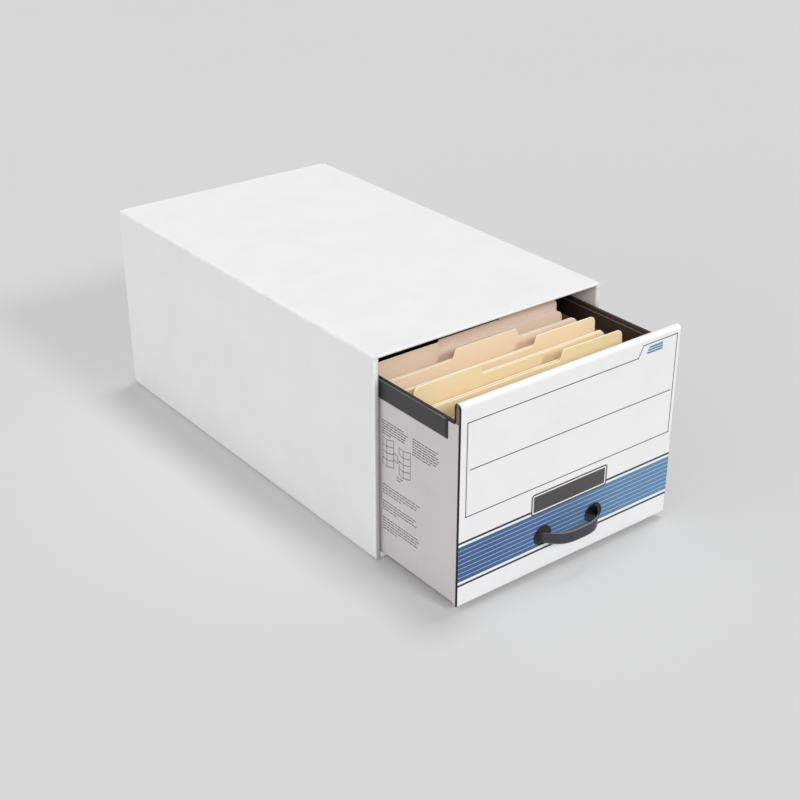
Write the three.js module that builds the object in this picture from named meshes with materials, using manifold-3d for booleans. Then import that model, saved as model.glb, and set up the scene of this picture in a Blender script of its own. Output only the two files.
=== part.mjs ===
// File storage drawer of folded corrugated board: a sleeve, a pull-out drawer with two steel rails,
// a moulded pull strap, and seven tabbed manila folders standing in the front of the drawer.
// Millimetres, +Z up, the drawer opens towards -Y. The origin is the middle of the sleeve's underside.
import * as THREE from 'three';
import { mergeVertices } from 'three/addons/utils/BufferGeometryUtils.js';
import Module from 'manifold-3d';

const wasm = await Module();
wasm.setup();

// Corrugated board and how many plies of it each wall has
const BOARD = 4;
const SLEEVE_SIDE_PLIES = 2;
const SLEEVE_FLOOR_PLIES = 2;
const SLEEVE_BACK_PLIES = 2;
const DRAWER_FRONT_PLIES = 3;
const DRAWER_BACK_PLIES = 2;
const FOLD_RADIUS = 5;
const DRAWER_FOLD_RADIUS = 4;
const PLY_SEAM = 0.6;
const PLY_SEAM_DEPTH = 3;
const FLAP_SEAM = 1.2;
const FLAP_SEAM_DEPTH = 3;
const CORNER_NICK_RADIUS = 1.6;

// Folders that the drawer is made for
const FOLDER_WIDTH = 318;
const FOLDER_HEIGHT = 241;
const FOLDER_CARD = 0.6;
const FOLDER_SPINE = 2.4;
const FOLDER_CORNER = 9;
const TAB_HEIGHT = 13;
const TAB_CORNER = 6;
const TAB_SLOPE = 5;
const LEAF_BOW = 2.5;
const FOLDER_SIDE_PLAY = 1.6;
const FOLDER_STACK = 180;

// Drawer inside, round the folders
const ROOM_BESIDE_FOLDERS = 30.8;
const RAIL_ABOVE_FOLDERS = 6.2;
const FRONT_ABOVE_RAILS = 27;
const INSIDE_DEPTH = 616;

// Steel rails on the drawer's side walls
const RAIL_SHEET = 1;
const RAIL_OUTER_LEG = 26;
const RAIL_INNER_LEG = 28;
const RAIL_BEND = 1.6;
const RAIL_BEAD_RADIUS = 0.9;
const RAIL_BEAD_DROP = 5;
const RAIL_CUTBACK = 12;

// Moulded pull strap
const PULL_SPAN = 88;
const PULL_ABOVE_DRAWER_FLOOR = 48;
const STRAP_TALL = 17;
const STRAP_THICK = 3.6;
const STRAP_BOW = 26;
const STRAP_FULLNESS = 2.2;
const STRAP_ROUNDING = 0.9;
const PAD_WIDTH = 29;
const PAD_TALL = 27;
const PAD_THICK = 1.4;
const PAD_LIP = 1.5;
const PAD_DISH = 0.7;
const PAD_RIM = 1.6;
const RETAINER_THICK = 2;
const RETAINER_LIP = 2;

// Fits
const SEAT_GAP = 0.3;
const SLIDE_CLEARANCE = 1.5;
const TAIL_GAP = 4;
const DRAWER_PULLED_OUT = 152;

// Sizes that follow
const drawerInnerHalf = (FOLDER_WIDTH + ROOM_BESIDE_FOLDERS) / 2;
const wallInnerHalf = drawerInnerHalf + RAIL_SHEET + SEAT_GAP;
const wallOuterHalf = wallInnerHalf + BOARD;
const drawerHalf = wallOuterHalf + SEAT_GAP + RAIL_SHEET;
const sleeveSide = SLEEVE_SIDE_PLIES * BOARD;
const sleeveHalf = drawerHalf + SLIDE_CLEARANCE + sleeveSide;
const sleeveFloor = SLEEVE_FLOOR_PLIES * BOARD;
const sleeveBack = SLEEVE_BACK_PLIES * BOARD;
const drawerBottom = sleeveFloor + SEAT_GAP;
const drawerFloor = drawerBottom + BOARD;
const railTop = drawerFloor + FOLDER_HEIGHT + RAIL_ABOVE_FOLDERS;
const wallTop = railTop - RAIL_SHEET - SEAT_GAP;
const frontTop = railTop + FRONT_ABOVE_RAILS;
const sleeveHeight = frontTop + SLIDE_CLEARANCE + BOARD;
const frontThick = DRAWER_FRONT_PLIES * BOARD;
const drawerBackThick = DRAWER_BACK_PLIES * BOARD;
const drawerDepth = frontThick + INSIDE_DEPTH + drawerBackThick;
const sleeveDepth = drawerDepth + TAIL_GAP + sleeveBack;
const sleeveFront = -sleeveDepth / 2;
const sleeveRear = sleeveDepth / 2;
const pullHeight = drawerFloor + PULL_ABOVE_DRAWER_FLOOR;

// A cut runs this far past the faces it goes through, and a full half round keeps a flat this short
const PAST = 1;
const ROUND_FLAT = 0.01;
const ROUND_STEPS = 8;
const STRAP_STEPS = 28;
const LEAF_STEPS = 10;

// Solids and the joins and cuts between them

function toSolid(geometry) {
  const bare = geometry.clone();
  bare.deleteAttribute('normal');
  bare.deleteAttribute('uv');
  const merged = mergeVertices(bare, 1e-4);
  return new wasm.Manifold(new wasm.Mesh({
    numProp: 3,
    vertProperties: new Float32Array(merged.attributes.position.array),
    triVerts: new Uint32Array(merged.index.array),
  }));
}

function toGeometry(solid) {
  const { vertProperties, triVerts } = solid.getMesh();
  const geometry = new THREE.BufferGeometry();
  geometry.setAttribute('position', new THREE.BufferAttribute(new Float32Array(vertProperties), 3));
  geometry.setIndex(new THREE.BufferAttribute(new Uint32Array(triVerts), 1));
  geometry.computeVertexNormals();
  return geometry;
}

function join(solids) {
  return solids.reduce((whole, solid) => whole.add(solid));
}

function cut(whole, tools) {
  return tools.reduce((rest, tool) => rest.subtract(tool), whole);
}

function extrude(shape, length, placing, bevel = 0) {
  const geometry = new THREE.ExtrudeGeometry(shape, {
    depth: length - 2 * bevel,
    curveSegments: ROUND_STEPS,
    bevelEnabled: bevel > 0,
    bevelThickness: bevel,
    bevelSize: bevel,
    bevelOffset: -bevel,
    bevelSegments: 2,
  });
  geometry.translate(0, 0, bevel);
  return toSolid(geometry.applyMatrix4(placing));
}

// A side view, drawn as (y, z), carried along X
function alongX(shape, from, to) {
  return extrude(shape, to - from, new THREE.Matrix4().set(0, 0, 1, from, 1, 0, 0, 0, 0, 1, 0, 0, 0, 0, 0, 1));
}

// A front view, drawn as (x, z), carried along Y
function alongY(shape, from, to, bevel = 0) {
  return extrude(shape, to - from, new THREE.Matrix4().set(1, 0, 0, 0, 0, 0, -1, to, 0, 1, 0, 0, 0, 0, 0, 1), bevel);
}

// A plan, drawn as (x, y), carried up Z
function alongZ(shape, from, to, bevel = 0) {
  return extrude(shape, to - from, new THREE.Matrix4().makeTranslation(0, 0, from), bevel);
}

// A plan drawn as (y, -x), carried up Z
function standing(shape, from, to) {
  return extrude(shape, to - from, new THREE.Matrix4().set(0, -1, 0, 0, 1, 0, 0, 0, 0, 0, 1, from, 0, 0, 0, 1));
}

function block(x0, x1, y0, y1, z0, z1) {
  const geometry = new THREE.BoxGeometry(x1 - x0, y1 - y0, z1 - z0);
  geometry.translate((x0 + x1) / 2, (y0 + y1) / 2, (z0 + z1) / 2);
  return toSolid(geometry);
}

// Outlines

// A rectangle with its lower and its upper corners rounded
function roundedRectangle(u0, v0, u1, v1, lower, upper = lower) {
  const shape = new THREE.Shape();
  shape.moveTo(u0 + lower, v0);
  shape.lineTo(u1 - lower, v0);
  shape.absarc(u1 - lower, v0 + lower, lower, -Math.PI / 2, 0);
  shape.lineTo(u1, v1 - upper);
  shape.absarc(u1 - upper, v1 - upper, upper, 0, Math.PI / 2);
  shape.lineTo(u0 + upper, v1);
  shape.absarc(u0 + upper, v1 - upper, upper, Math.PI / 2, Math.PI);
  shape.lineTo(u0, v0 + lower);
  shape.absarc(u0 + lower, v0 + lower, lower, Math.PI, Math.PI * 1.5);
  return shape;
}

// The section of a board from its rolled front edge to its square rear edge
function rolledBoard(rolledEnd, squareEnd, v0, v1) {
  const radius = (v1 - v0) / 2;
  const shape = new THREE.Shape();
  shape.moveTo(squareEnd, v1);
  shape.lineTo(rolledEnd + radius, v1);
  shape.absarc(rolledEnd + radius, v0 + radius, radius, Math.PI / 2, Math.PI * 1.5);
  shape.lineTo(squareEnd, v0);
  return shape;
}

function oval(u, v, width, tall) {
  const radius = Math.min(width, tall) / 2 - ROUND_FLAT;
  return roundedRectangle(u - width / 2, v - tall / 2, u + width / 2, v + tall / 2, radius);
}

function mirrored(shape) {
  return new THREE.Shape(shape.getPoints(ROUND_STEPS).map((p) => new THREE.Vector2(-p.x, p.y)));
}

// A line given even thickness, half to each side
function ribbon(line, thickness) {
  const sides = line.map((point, i) => {
    const before = line[Math.max(i - 1, 0)];
    const after = line[Math.min(i + 1, line.length - 1)];
    const along = after.clone().sub(before).normalize();
    const across = new THREE.Vector2(-along.y, along.x).multiplyScalar(thickness / 2);
    return [point.clone().add(across), point.clone().sub(across)];
  });
  return new THREE.Shape([...sides.map((s) => s[0]), ...sides.map((s) => s[1]).reverse()]);
}

// Sleeve: a tube of board with rolled front edges and a back closed by a flap

function makeSleeve() {
  const outside = alongY(roundedRectangle(-sleeveHalf, 0, sleeveHalf, sleeveHeight, FOLD_RADIUS), sleeveFront, sleeveRear);
  const floor = alongX(rolledBoard(sleeveFront, sleeveRear, 0, sleeveFloor), -sleeveHalf, sleeveHalf);
  const top = alongX(rolledBoard(sleeveFront, sleeveRear, sleeveHeight - BOARD, sleeveHeight), -sleeveHalf, sleeveHalf);
  const walls = [-sleeveHalf, sleeveHalf - sleeveSide].map(
    (low) => standing(rolledBoard(sleeveFront, sleeveRear, low, low + sleeveSide), 0, sleeveHeight),
  );
  const back = block(-sleeveHalf, sleeveHalf, sleeveRear - sleeveBack, sleeveRear, 0, sleeveHeight);
  const body = join([floor, top, ...walls, back]).intersect(outside);

  // The outer back flap hangs from the top edge, so its cut edges show at both sides and below
  const seamFrom = sleeveRear - FLAP_SEAM_DEPTH;
  const seamTop = sleeveHeight - FOLD_RADIUS;
  const flapHalf = sleeveHalf - FOLD_RADIUS;
  const sideSeams = [-flapHalf, flapHalf - FLAP_SEAM].map(
    (x) => block(x, x + FLAP_SEAM, seamFrom, sleeveRear + PAST, FOLD_RADIUS, seamTop),
  );
  const lowerSeam = block(-flapHalf, flapHalf, seamFrom, sleeveRear + PAST, FOLD_RADIUS, FOLD_RADIUS + FLAP_SEAM);

  // The rolled side edges are nicked where they meet the top panel's fold
  const nickAt = roundedRectangle(
    sleeveFront - CORNER_NICK_RADIUS,
    sleeveHeight - BOARD - 2 * CORNER_NICK_RADIUS,
    sleeveFront + CORNER_NICK_RADIUS,
    sleeveHeight - BOARD,
    CORNER_NICK_RADIUS - ROUND_FLAT,
  );
  const innerHalf = sleeveHalf - sleeveSide;
  const nicks = [[-sleeveHalf - PAST, -innerHalf], [innerHalf, sleeveHalf + PAST]].map(
    ([from, to]) => alongX(nickAt, from, to),
  );
  return cut(body, [...sideSeams, lowerSeam, ...nicks]);
}

// Drawer body: one folded blank with a roll-over front. Its front face is at y = 0

function makeDrawerBody() {
  const wallsOutline = roundedRectangle(-wallOuterHalf, drawerBottom, wallOuterHalf, frontTop, DRAWER_FOLD_RADIUS);
  const floor = block(-wallOuterHalf, wallOuterHalf, BOARD, drawerDepth, drawerBottom, drawerFloor);
  const walls = [-wallOuterHalf, wallInnerHalf].map(
    (x) => block(x, x + BOARD, BOARD, drawerDepth, drawerBottom, wallTop),
  );
  const backRoll = rolledBoard(-wallTop, -drawerBottom, drawerDepth - drawerBackThick, drawerDepth);
  const backSection = new THREE.Shape(backRoll.getPoints(ROUND_STEPS).map((p) => new THREE.Vector2(p.y, -p.x)));
  const back = alongX(backSection, -wallOuterHalf, wallOuterHalf);
  const tray = join([floor, ...walls, back]).intersect(alongY(wallsOutline, 0, drawerDepth));

  // Outer ply, corner flaps of the walls, and inner ply, under one rolled top edge
  const frontSection = roundedRectangle(0, drawerBottom, frontThick, frontTop, DRAWER_FOLD_RADIUS, frontThick / 2 - ROUND_FLAT);
  const wholeFront = alongX(frontSection, -drawerHalf, drawerHalf);
  const besideWalls = [[-drawerHalf - PAST, -wallOuterHalf], [wallOuterHalf, drawerHalf + PAST]].map(
    ([from, to]) => block(from, to, BOARD, frontThick + PAST, drawerBottom - PAST, railTop),
  );
  const seams = [];
  for (let ply = 1; ply < DRAWER_FRONT_PLIES; ply += 1) {
    const y = ply * BOARD - PLY_SEAM / 2;
    for (const x of [-drawerHalf - PAST, drawerHalf - PLY_SEAM_DEPTH]) {
      seams.push(block(x, x + PLY_SEAM_DEPTH + PAST, y, y + PLY_SEAM, railTop, frontTop - frontThick / 2));
    }
  }
  const slots = [-PULL_SPAN / 2, PULL_SPAN / 2].map((x) => alongY(
    oval(x, pullHeight, PAD_WIDTH - 2 * PAD_LIP, PAD_TALL - 2 * PAD_LIP),
    -PAST,
    frontThick + PAST,
  ));
  return cut(tray.add(cut(wholeFront, besideWalls)), [...seams, ...slots]);
}

// Rail: a steel channel over a side wall, with a longer inner leg that has one pressed bead

function makeRail(side) {
  const outer = drawerHalf;
  const inner = drawerInnerHalf;
  const beadAt = railTop - RAIL_BEAD_DROP;
  const section = new THREE.Shape();
  section.moveTo(outer, railTop - RAIL_OUTER_LEG);
  section.lineTo(outer, railTop - RAIL_BEND);
  section.absarc(outer - RAIL_BEND, railTop - RAIL_BEND, RAIL_BEND, 0, Math.PI / 2);
  section.lineTo(inner + RAIL_BEND, railTop);
  section.absarc(inner + RAIL_BEND, railTop - RAIL_BEND, RAIL_BEND, Math.PI / 2, Math.PI);
  section.lineTo(inner, beadAt + RAIL_BEAD_RADIUS);
  section.absarc(inner, beadAt, RAIL_BEAD_RADIUS, Math.PI / 2, Math.PI * 1.5);
  section.lineTo(inner, railTop - RAIL_INNER_LEG);
  section.lineTo(inner + RAIL_SHEET, railTop - RAIL_INNER_LEG);
  section.lineTo(inner + RAIL_SHEET, railTop - RAIL_SHEET);
  section.lineTo(outer - RAIL_SHEET, railTop - RAIL_SHEET);
  section.lineTo(outer - RAIL_SHEET, railTop - RAIL_OUTER_LEG);
  const from = frontThick + SEAT_GAP;
  const to = drawerDepth - drawerBackThick - SEAT_GAP;
  const channel = alongY(side > 0 ? section : mirrored(section), from, to);
  const legs = [side * (outer - RAIL_BEND), side * (outer + PAST)].sort((a, b) => a - b);
  const cutback = block(...legs, from - PAST, from + RAIL_CUTBACK, railTop - RAIL_OUTER_LEG - PAST, railTop - RAIL_BEND);
  return cut(channel, [cutback]);
}

// Pull: a bowed strap that ends in two dished oval pads, held behind the front by flanges

function makePull() {
  const half = PULL_SPAN / 2;
  const arch = [];
  for (let i = 0; i <= STRAP_STEPS; i += 1) {
    const t = (2 * i) / STRAP_STEPS - 1;
    const out = STRAP_BOW * (1 - Math.abs(t) ** STRAP_FULLNESS);
    arch.push(new THREE.Vector2(t * half, STRAP_THICK / 2 - PAD_THICK - out));
  }
  const strap = alongZ(
    ribbon(arch, STRAP_THICK),
    pullHeight - STRAP_TALL / 2,
    pullHeight + STRAP_TALL / 2,
    STRAP_ROUNDING,
  );
  const ends = [-half, half].map((x) => {
    const padFront = -SEAT_GAP - PAD_THICK;
    const neckBack = frontThick + SEAT_GAP + RETAINER_THICK;
    const neckWidth = PAD_WIDTH - 2 * PAD_LIP - 2 * SEAT_GAP;
    const neckTall = PAD_TALL - 2 * PAD_LIP - 2 * SEAT_GAP;
    const pad = alongY(oval(x, pullHeight, PAD_WIDTH, PAD_TALL), padFront, -SEAT_GAP);
    const dish = alongY(
      oval(x, pullHeight, PAD_WIDTH - 2 * PAD_RIM, PAD_TALL - 2 * PAD_RIM),
      padFront - PAST,
      padFront + PAD_DISH,
    );
    const neck = alongY(oval(x, pullHeight, neckWidth, neckTall), -PAD_THICK / 2, neckBack);
    const retainer = alongY(
      oval(x, pullHeight, PAD_WIDTH + 2 * RETAINER_LIP, PAD_TALL + 2 * RETAINER_LIP),
      frontThick + SEAT_GAP,
      neckBack,
    );
    return join([cut(pad, [dish]), neck, retainer]);
  });
  return join([strap, ...ends]);
}

// Folder: one sheet of card folded at the bottom, its rear leaf with a third-cut tab
// front, fold and back are where its front edge, spine and rear edge stand, as shares of the stack's depth

function leafLine(fold, edge, height, bowing) {
  const points = [];
  for (let i = 0; i <= LEAF_STEPS; i += 1) {
    const t = i / LEAF_STEPS;
    const bow = bowing * 4 * t * (1 - t);
    points.push(new THREE.Vector2(fold + (edge - fold) * t + bow, FOLDER_SPINE / 2 + (height - FOLDER_SPINE / 2) * t));
  }
  return points;
}

function leafOutline(left, tabFrom, tabTo, tabTop) {
  const right = left + FOLDER_WIDTH;
  const shape = new THREE.Shape();
  shape.moveTo(left, -PAST);
  shape.lineTo(right, -PAST);
  const plainRight = tabTo < right - TAB_SLOPE;
  const plainLeft = tabFrom > left + TAB_SLOPE;
  if (plainRight) {
    shape.lineTo(right, FOLDER_HEIGHT - FOLDER_CORNER);
    shape.absarc(right - FOLDER_CORNER, FOLDER_HEIGHT - FOLDER_CORNER, FOLDER_CORNER, 0, Math.PI / 2);
    shape.lineTo(tabTo + TAB_SLOPE / 2, FOLDER_HEIGHT);
  }
  shape.lineTo(plainRight ? tabTo - TAB_SLOPE / 2 : right, tabTop - TAB_CORNER);
  shape.quadraticCurveTo(tabTo - TAB_SLOPE / 2, tabTop, tabTo - TAB_SLOPE / 2 - TAB_CORNER, tabTop);
  shape.lineTo(tabFrom + TAB_SLOPE / 2 + TAB_CORNER, tabTop);
  shape.quadraticCurveTo(tabFrom + TAB_SLOPE / 2, tabTop, plainLeft ? tabFrom + TAB_SLOPE / 2 : left, tabTop - TAB_CORNER);
  if (plainLeft) {
    shape.lineTo(tabFrom - TAB_SLOPE / 2, FOLDER_HEIGHT);
    shape.lineTo(left + FOLDER_CORNER, FOLDER_HEIGHT);
    shape.absarc(left + FOLDER_CORNER, FOLDER_HEIGHT - FOLDER_CORNER, FOLDER_CORNER, Math.PI / 2, Math.PI);
  }
  return shape;
}

function makeFolder(place) {
  const [front, fold, back] = [place.front, place.fold, place.back].map((share) => share * FOLDER_STACK);
  const tabTop = FOLDER_HEIGHT + TAB_HEIGHT;
  const left = -drawerInnerHalf + FOLDER_SIDE_PLAY * (1 + place.shift);
  const third = FOLDER_WIDTH / 3;
  const tabFrom = left + place.tab * third;
  const spread = FOLDER_SPINE / 2 - FOLDER_CARD / 2;
  const frontLeaf = leafLine(fold - spread, front, FOLDER_HEIGHT, front < fold ? -LEAF_BOW : 0);
  const rearLeaf = leafLine(fold + spread, back, tabTop, 0);
  const bend = [];
  for (let i = 1; i < ROUND_STEPS; i += 1) {
    const angle = Math.PI + (i * Math.PI) / ROUND_STEPS;
    bend.push(new THREE.Vector2(fold + spread * Math.cos(angle), FOLDER_SPINE / 2 + spread * Math.sin(angle)));
  }
  const sheet = alongX(ribbon([...frontLeaf.reverse(), ...bend, ...rearLeaf], FOLDER_CARD), left, left + FOLDER_WIDTH);
  // The upper leaves are trimmed each by itself, parted midway between their top edges
  const parting = (front + back) / 2;
  const middle = FOLDER_HEIGHT / 2;
  const rearOutline = leafOutline(left, tabFrom, tabFrom + third, tabTop);
  const frontOutline = roundedRectangle(left, -PAST - FOLDER_CORNER, left + FOLDER_WIDTH, FOLDER_HEIGHT, FOLDER_CORNER);
  const reach = FOLDER_HEIGHT;
  const lowHalf = block(left, left + FOLDER_WIDTH, fold - reach, fold + reach, -PAST, middle + PAST);
  const upperFront = block(left, left + FOLDER_WIDTH, fold - reach, parting, middle, tabTop);
  const upperRear = block(left, left + FOLDER_WIDTH, parting, fold + reach, middle, tabTop);
  return join([
    sheet.intersect(lowHalf),
    sheet.intersect(upperFront).intersect(alongY(frontOutline, fold - reach, fold + reach)),
    sheet.intersect(upperRear).intersect(alongY(rearOutline, fold - reach, fold + reach)),
  ]);
}

// Finishes

const whiteBoard = new THREE.MeshStandardMaterial({ color: 0xefeff0, roughness: 0.72, metalness: 0 });
const greyBoard = new THREE.MeshStandardMaterial({ color: 0xe6e5e8, roughness: 0.75, metalness: 0 });
const blackSteel = new THREE.MeshStandardMaterial({ color: 0x2b2a2c, roughness: 0.42, metalness: 0.5 });
const darkPlastic = new THREE.MeshStandardMaterial({ color: 0x26252e, roughness: 0.4, metalness: 0 });

function manila(position) {
  const colour = new THREE.Color(0xfbe6b2).lerp(new THREE.Color(0xecd0b2), position);
  return new THREE.MeshStandardMaterial({ color: colour, roughness: 0.85, metalness: 0 });
}

function named(name, solid, material) {
  const mesh = new THREE.Mesh(toGeometry(solid), material);
  mesh.name = name;
  return mesh;
}

// Assembly

const FOLDERS = [
  { tab: 2, front: 0.111, fold: 0.2, back: 0.311, shift: 0 },
  { tab: 0, front: 0.327, fold: 0.411, back: 0.483, shift: 0.25 },
  { tab: 2, front: 0.5, fold: 0.544, back: 0.594, shift: 1.25 },
  { tab: 1, front: 0.61, fold: 0.711, back: 0.778, shift: 0.6 },
  { tab: 0, front: 0.793, fold: 0.867, back: 0.933, shift: 0.3 },
  { tab: 1, front: 0.95, fold: 0.911, back: 0.967, shift: 0 },
  { tab: 2, front: 0.981, fold: 0.944, back: 0.997, shift: 0.75 },
];

const drawer = new THREE.Group();
drawer.position.y = sleeveFront - DRAWER_PULLED_OUT;
drawer.add(named('drawer_body', makeDrawerBody(), greyBoard));
drawer.add(named('left_rail', makeRail(-1), blackSteel));
drawer.add(named('right_rail', makeRail(1), blackSteel));
drawer.add(named('pull_strap', makePull(), darkPlastic));

const folders = new THREE.Group();
folders.position.set(0, frontThick, drawerFloor + SEAT_GAP);
FOLDERS.forEach((place, i) => {
  const folder = makeFolder(place);
  folders.add(named(`file_folder_${i + 1}`, folder, manila(i / (FOLDERS.length - 1))));
});
drawer.add(folders);

const fileDrawer = new THREE.Group();
fileDrawer.add(named('sleeve', makeSleeve(), whiteBoard));
fileDrawer.add(drawer);

export default fileDrawer;
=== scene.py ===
"""File storage drawer of white corrugated board, pulled out to show its manila folders.

Sizes are in millimetres and become metres where a mesh is made. The drawer opens towards -Y, and all that
moves with it rides on the body "drawer". Print is made as ink a few hundredths of a millimetre thick.
"""

import math

import bmesh
import bpy
import numpy as np
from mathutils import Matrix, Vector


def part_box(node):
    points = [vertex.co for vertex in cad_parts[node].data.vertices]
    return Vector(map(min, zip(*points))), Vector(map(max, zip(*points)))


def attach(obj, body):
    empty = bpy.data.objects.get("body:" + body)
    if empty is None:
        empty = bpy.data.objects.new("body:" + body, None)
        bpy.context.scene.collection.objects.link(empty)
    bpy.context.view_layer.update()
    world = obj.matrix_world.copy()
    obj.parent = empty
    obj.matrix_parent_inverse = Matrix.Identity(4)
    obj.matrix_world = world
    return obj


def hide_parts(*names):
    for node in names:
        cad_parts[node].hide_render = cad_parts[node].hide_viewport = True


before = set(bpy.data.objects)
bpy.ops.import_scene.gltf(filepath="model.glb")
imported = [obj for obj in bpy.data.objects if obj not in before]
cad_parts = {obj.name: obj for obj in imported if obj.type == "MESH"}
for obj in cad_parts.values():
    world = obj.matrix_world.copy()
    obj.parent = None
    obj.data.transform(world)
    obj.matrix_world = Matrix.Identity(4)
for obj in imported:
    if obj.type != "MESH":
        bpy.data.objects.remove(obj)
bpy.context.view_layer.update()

MM = 0.001

# Board: one ply, the drawer's front, the sleeve's sides, and the flutes inside
BOARD = 4.0
FRONT_THICK = 3 * BOARD
SLEEVE_SIDE = 2 * BOARD
FLUTE_PITCH = 7.7

# Sleeve: how far below its top the front rims turn grey with painted shade, and the seam round its back flap
RIM_SHADE_FADE = (22.0, 45.0)
BACK_SEAM = (4.9, 6.3)
BACK_SEAM_DEEP = 3.05

# Folders
FOLDER_HEIGHT = 241.0
FOLDER_CARD = 0.6
FOLDER_SPINE = 2.4
FOLDER_CORNER = 9.0
FOLDER_STACK = 180.0
LEAF_BOW = 2.5
LEAF_WAVE = 0.55
LEAF_WAVES = 1.3
FRONT_WAVE_TURN = 1.9
REAR_WAVE_TURN = 2.3
TAB_SIDE = 7.5
# Share of a leaf's height in its top rows, which carry a painted highlight along the edge
EDGE_HIGHLIGHT_SHARE = 0.006
TABS = 3

# Each folder's tab third, counted from the left, and where its front edge, fold and rear edge stand in the
# stack, as shares of its depth
FOLDERS = [
    {"tab": 2, "front": 0.111, "fold": 0.2, "back": 0.311},
    {"tab": 0, "front": 0.327, "fold": 0.411, "back": 0.483},
    {"tab": 2, "front": 0.5, "fold": 0.544, "back": 0.594},
    {"tab": 1, "front": 0.61, "fold": 0.711, "back": 0.778},
    {"tab": 0, "front": 0.793, "fold": 0.867, "back": 0.933},
    {"tab": 1, "front": 0.95, "fold": 0.911, "back": 0.967},
    {"tab": 2, "front": 0.981, "fold": 0.944, "back": 0.997},
]

# Rails: the sheet, the gap at which it and the pull sit, how far the outer leg is cut back from the front,
# how much further the near-black painted shade at the legs' front ends reaches, and how far below the top
# the bead runs, which carries a painted highlight
RAIL_SHEET = 1.0
SEAT_GAP = 0.3
RAIL_CUTBACK = 12.0
RAIL_END_SHADE = 4.0
RAIL_BEAD_DROP = 5.0

# Pull: the span between its pads' middles, the strap, whose ends reach past those middles, the pads and the
# flanges that hold them
PULL_SPAN = 88.0
STRAP_TALL = 17.0
STRAP_THICK = 3.6
STRAP_BOW = 26.0
STRAP_REACH = 51.0
STRAP_FULLNESS = 3.2
STRAP_WEB = 0.62
STRAP_NARROWING = 0.22
PAD_WIDTH = 29.0
PAD_TALL = 27.0
PAD_THICK = 1.4
PAD_DISH = 0.8
PAD_LIP = 1.5
RETAINER_THICK = 2.0
RETAINER_LIP = 2.0

# Ink: its height on the board, the plate's, which is printed over the band, and the rules' width
INK = 0.05
OVERPRINT = 0.09
RULE_WIDTH = 1.4

# Camera, fitted to the photograph
CAMERA_AZIMUTH = -37.61
CAMERA_ELEVATION = 27.47
CAMERA_TARGET = (59.6, -50.0, 42.3)
CAMERA_DISTANCE = 2140.7
CAMERA_LENS = 63.85


def box_mm(node):
    """Lowest and highest corner of a CAD node, in millimetres."""
    low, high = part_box(node)
    return np.array(low) / MM, np.array(high) / MM


DRAWER_LOW, DRAWER_HIGH = box_mm("drawer_body")
SLEEVE_LOW, SLEEVE_HIGH = box_mm("sleeve")
RAIL_LOW, RAIL_HIGH = box_mm("left_rail")
PULL_LOW, PULL_HIGH = box_mm("pull_strap")
FRONT_FACE = DRAWER_LOW[1]
FRONT_INSIDE = FRONT_FACE + FRONT_THICK
FRONT_TOP = DRAWER_HIGH[2]
DRAWER_HALF = DRAWER_HIGH[0]
DRAWER_FLOOR = DRAWER_LOW[2] + BOARD
RAIL_TOP = RAIL_HIGH[2]
WALL_TOP = RAIL_TOP - RAIL_SHEET - SEAT_GAP
WALL_OUTER = -RAIL_LOW[0] - RAIL_SHEET - SEAT_GAP
WALL_INNER = WALL_OUTER - BOARD
SLEEVE_HALF = SLEEVE_HIGH[0]
SLEEVE_TOP = SLEEVE_HIGH[2]
SLEEVE_FRONT = SLEEVE_LOW[1]
SLEEVE_REAR = SLEEVE_HIGH[1]
PULL_HEIGHT = (PULL_LOW[2] + PULL_HIGH[2]) / 2
CARD_LOW, CARD_HIGH = box_mm("file_folder_1")
TAB_RISE = CARD_HIGH[2] - CARD_LOW[2] - FOLDER_HEIGHT


# Shader values

class Value:
    """One output of a shader node. Arithmetic on it adds the Math nodes that work it out."""

    def __init__(self, finish, socket):
        self.finish = finish
        self.socket = socket

    def __add__(self, other):
        return self.finish.math("ADD", self, other)

    def __radd__(self, other):
        return self.finish.math("ADD", other, self)

    def __sub__(self, other):
        return self.finish.math("SUBTRACT", self, other)

    def __rsub__(self, other):
        return self.finish.math("SUBTRACT", other, self)

    def __mul__(self, other):
        return self.finish.math("MULTIPLY", self, other)

    def __rmul__(self, other):
        return self.finish.math("MULTIPLY", other, self)

    def __abs__(self):
        return self.finish.math("ABSOLUTE", self)

    def __gt__(self, other):
        return self.finish.math("GREATER_THAN", self, other)

    def __lt__(self, other):
        return self.finish.math("LESS_THAN", self, other)


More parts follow.
